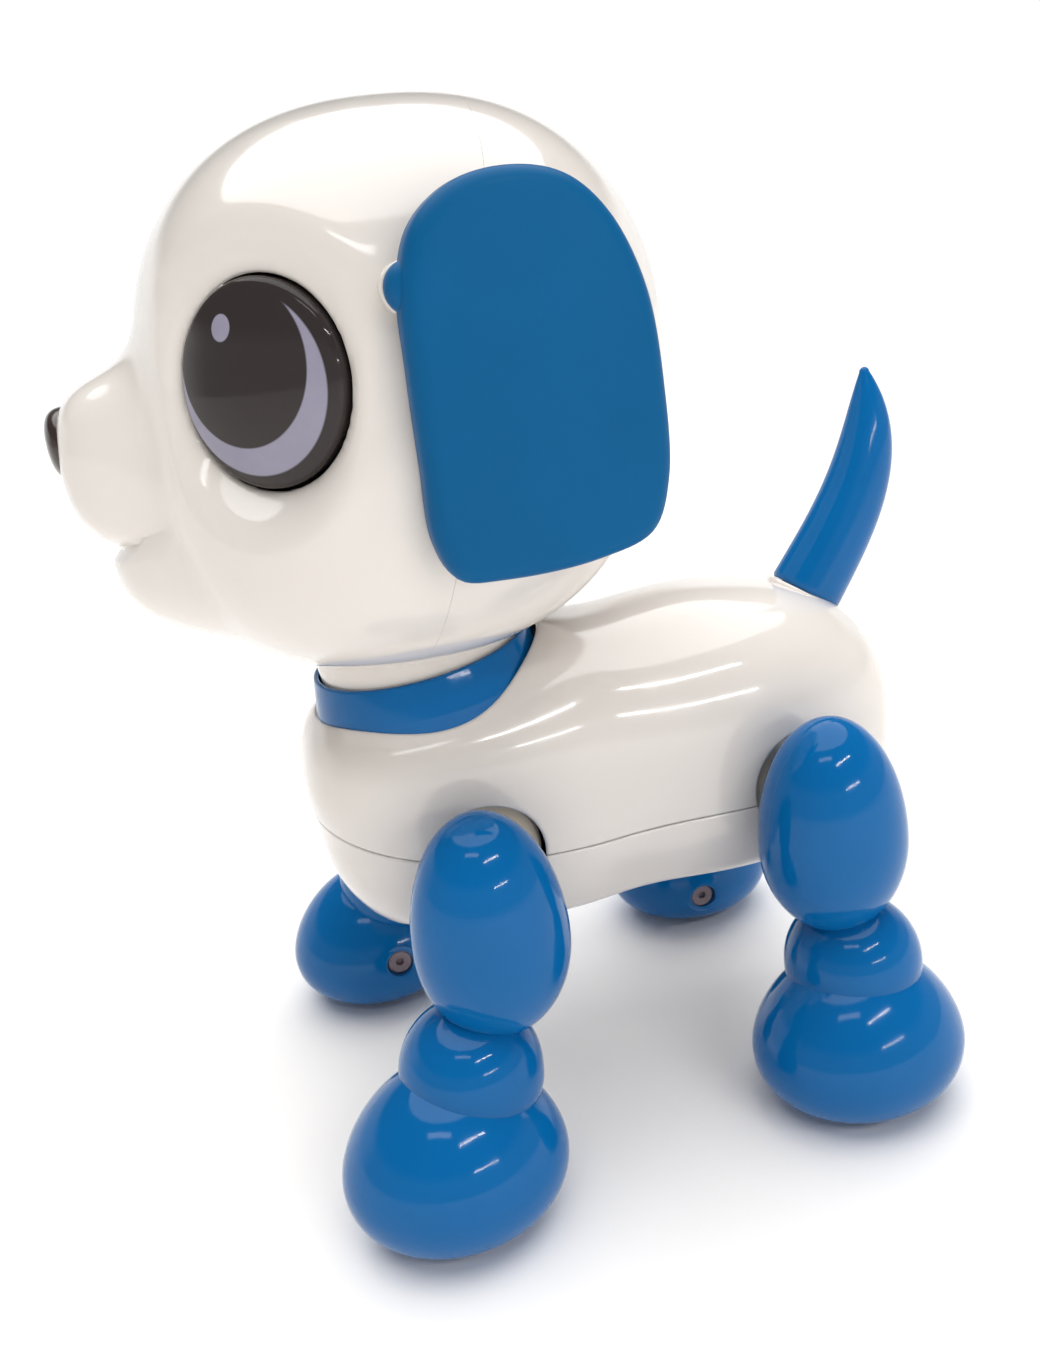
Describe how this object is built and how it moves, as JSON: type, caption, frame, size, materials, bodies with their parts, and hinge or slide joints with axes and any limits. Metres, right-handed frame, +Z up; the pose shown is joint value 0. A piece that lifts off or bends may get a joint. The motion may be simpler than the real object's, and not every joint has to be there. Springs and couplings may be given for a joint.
{
  "type": "robot dog toy",
  "caption": "Walking robot puppy toy: white shell body and head, blue swinging legs, ears, collar and wagging tail, big domed eyes, geared drive and battery bay inside.",
  "frame": {"origin": "on the floor below the middle of the toy's bounding box, the soles at z = 0", "axes": "+Z up, -Y towards the nose, +X the dog's left side"},
  "size_m": [0.1134, 0.1506, 0.18],
  "materials": {
    "white_shell": "high gloss white moulding",
    "blue_shell": "high gloss blue moulding",
    "ear_blue": "satin blue soft flap",
    "bush_beige": "plain beige bearing plastic",
    "eye_black": "glossy dome with a lilac crescent",
    "nose_dark": "dark brown gloss",
    "lamp_clear": "clear lamp body",
    "pad_rubber": "soft grip rubber",
    "screw_steel": "plated steel",
    "clip_steel": "bright steel",
    "motor_steel": "plated can",
    "gear_plastic": "natural gear plastic",
    "case_plastic": "black moulding",
    "board_green": "green board",
    "speaker_black": "black paper cone",
    "cell_jacket": "plain printed jacket",
    "contact_metal": "nickel plated"
  },
  "bodies": {
    "torso": {"body_upper_shell": "white_shell", "body_lower_shell": "white_shell", "collar": "blue_shell", "hip_bushes": "bush_beige", "body_screws": "screw_steel", "gear_case_left": "case_plastic", "gear_case_right": "case_plastic", "gear_case_screws": "screw_steel", "gear_axles": "clip_steel", "motor": "motor_steel", "circuit_board": "board_green", "speaker": "speaker_black", "switch_housing": "case_plastic", "batteries": "cell_jacket", "battery_contacts": "contact_metal"},
    "battery_door": {"battery_cover": "white_shell", "battery_cover_screw": "screw_steel"},
    "switch_knob": {"power_switch_knob": "case_plastic"},
    "head": {"head_front_shell": "white_shell", "head_rear_shell": "white_shell", "neck_tube": "white_shell", "eye_left": "eye_black", "eye_right": "eye_black", "eye_lights": "lamp_clear", "nose": "nose_dark", "head_screws": "screw_steel"},
    "left_ear": {"ear_left": "ear_blue", "ear_left_clip": "clip_steel"},
    "right_ear": {"ear_right": "ear_blue", "ear_right_clip": "clip_steel"},
    "tail_horn": {"tail": "blue_shell", "tail_clip": "clip_steel"},
    "left_link": {"link_left": "gear_plastic"},
    "right_link": {"link_right": "gear_plastic"},
    "crank": {"crank_gear": "gear_plastic", "crank_shaft": "clip_steel", "crank_discs": "gear_plastic"},
    "second_gear": {"gear_second": "gear_plastic"},
    "first_gear": {"gear_first": "gear_plastic"},
    "pinion": {"motor_pinion": "gear_plastic"},
    "leg_front_left": {"leg_front_left_outer_shell": "blue_shell", "leg_front_left_inner_shell": "blue_shell", "leg_front_left_lever": "gear_plastic", "leg_front_left_pad": "pad_rubber", "leg_front_left_screws": "screw_steel"},
    "leg_front_right": {"leg_front_right_outer_shell": "blue_shell", "leg_front_right_inner_shell": "blue_shell", "leg_front_right_lever": "gear_plastic", "leg_front_right_pad": "pad_rubber", "leg_front_right_screws": "screw_steel"},
    "leg_rear_left": {"leg_rear_left_outer_shell": "blue_shell", "leg_rear_left_inner_shell": "blue_shell", "leg_rear_left_lever": "gear_plastic", "leg_rear_left_pad": "pad_rubber", "leg_rear_left_screws": "screw_steel"},
    "leg_rear_right": {"leg_rear_right_outer_shell": "blue_shell", "leg_rear_right_inner_shell": "blue_shell", "leg_rear_right_lever": "gear_plastic", "leg_rear_right_pad": "pad_rubber", "leg_rear_right_screws": "screw_steel"}
  },
  "joints": [
    {"name": "leg_front_left_swing", "type": "hinge", "parent": "torso", "child": "leg_front_left", "pos_m": [0.0264, -0.0195, 0.0575], "axis": [1, 0, 0], "range_deg": [-14, 14]},
    {"name": "leg_rear_left_swing", "type": "hinge", "parent": "torso", "child": "leg_rear_left", "pos_m": [0.0264, 0.041, 0.0575], "axis": [1, 0, 0], "range_deg": [-14, 14]},
    {"name": "leg_front_right_swing", "type": "hinge", "parent": "torso", "child": "leg_front_right", "pos_m": [-0.0264, -0.0195, 0.0575], "axis": [1, 0, 0], "range_deg": [-14, 14]},
    {"name": "leg_rear_right_swing", "type": "hinge", "parent": "torso", "child": "leg_rear_right", "pos_m": [-0.0264, 0.041, 0.0575], "axis": [1, 0, 0], "range_deg": [-14, 14]},
    {"name": "link_left_slide", "type": "slide", "parent": "torso", "child": "left_link", "axis": [0, 1, 0], "range_m": [-0.0027, 0.0027]},
    {"name": "link_right_slide", "type": "slide", "parent": "torso", "child": "right_link", "axis": [0, 1, 0], "range_m": [-0.0027, 0.0027]},
    {"name": "crank_turn", "type": "hinge", "parent": "torso", "child": "crank", "pos_m": [0, 0.012, 0.0685], "axis": [1, 0, 0], "continuous": true},
    {"name": "second_gear_turn", "type": "hinge", "parent": "torso", "child": "second_gear", "pos_m": [0, 0.022, 0.0685], "axis": [1, 0, 0], "continuous": true},
    {"name": "first_gear_turn", "type": "hinge", "parent": "torso", "child": "first_gear", "pos_m": [0, 0.03066, 0.0635], "axis": [1, 0, 0], "continuous": true},
    {"name": "pinion_turn", "type": "hinge", "parent": "torso", "child": "pinion", "pos_m": [0, 0.04066, 0.0635], "axis": [1, 0, 0], "continuous": true},
    {"name": "head_turn", "type": "hinge", "parent": "torso", "child": "head", "pos_m": [0, -0.0206, 0.0825], "axis": [0, -0.1219, 0.9925], "range_deg": [-28, 28]},
    {"name": "ear_left_swing", "type": "hinge", "parent": "head", "child": "left_ear", "pos_m": [0.0449, -0.0224, 0.1515], "axis": [1, 0, 0], "range_deg": [-12, 12]},
    {"name": "ear_right_swing", "type": "hinge", "parent": "head", "child": "right_ear", "pos_m": [-0.0449, -0.0224, 0.1515], "axis": [1, 0, 0], "range_deg": [-12, 12]},
    {"name": "tail_wag", "type": "hinge", "parent": "torso", "child": "tail_horn", "pos_m": [0, 0.0557, 0.0851], "axis": [0, 0.585, 0.8111], "range_deg": [-30, 30]},
    {"name": "power_switch_slide", "type": "slide", "parent": "torso", "child": "switch_knob", "axis": [1, 0, 0], "range_m": [0, 0.003]},
    {"name": "battery_cover_lift", "type": "slide", "parent": "torso", "child": "battery_door", "axis": [0, 0, -1], "range_m": [0, 0.025]}
  ],
  "couplings": [
    {"joint": "leg_rear_left_swing", "follows": "leg_front_left_swing", "ratio": 1},
    {"joint": "leg_front_right_swing", "follows": "leg_front_left_swing", "ratio": -1},
    {"joint": "leg_rear_right_swing", "follows": "leg_front_left_swing", "ratio": -1},
    {"joint": "link_left_slide", "follows": "leg_front_left_swing", "m_per_rad": -0.0109},
    {"joint": "link_right_slide", "follows": "leg_front_left_swing", "m_per_rad": 0.0109},
    {"joint": "second_gear_turn", "follows": "crank_turn", "ratio": -3},
    {"joint": "first_gear_turn", "follows": "crank_turn", "ratio": 9},
    {"joint": "pinion_turn", "follows": "crank_turn", "ratio": -27}
  ]
}
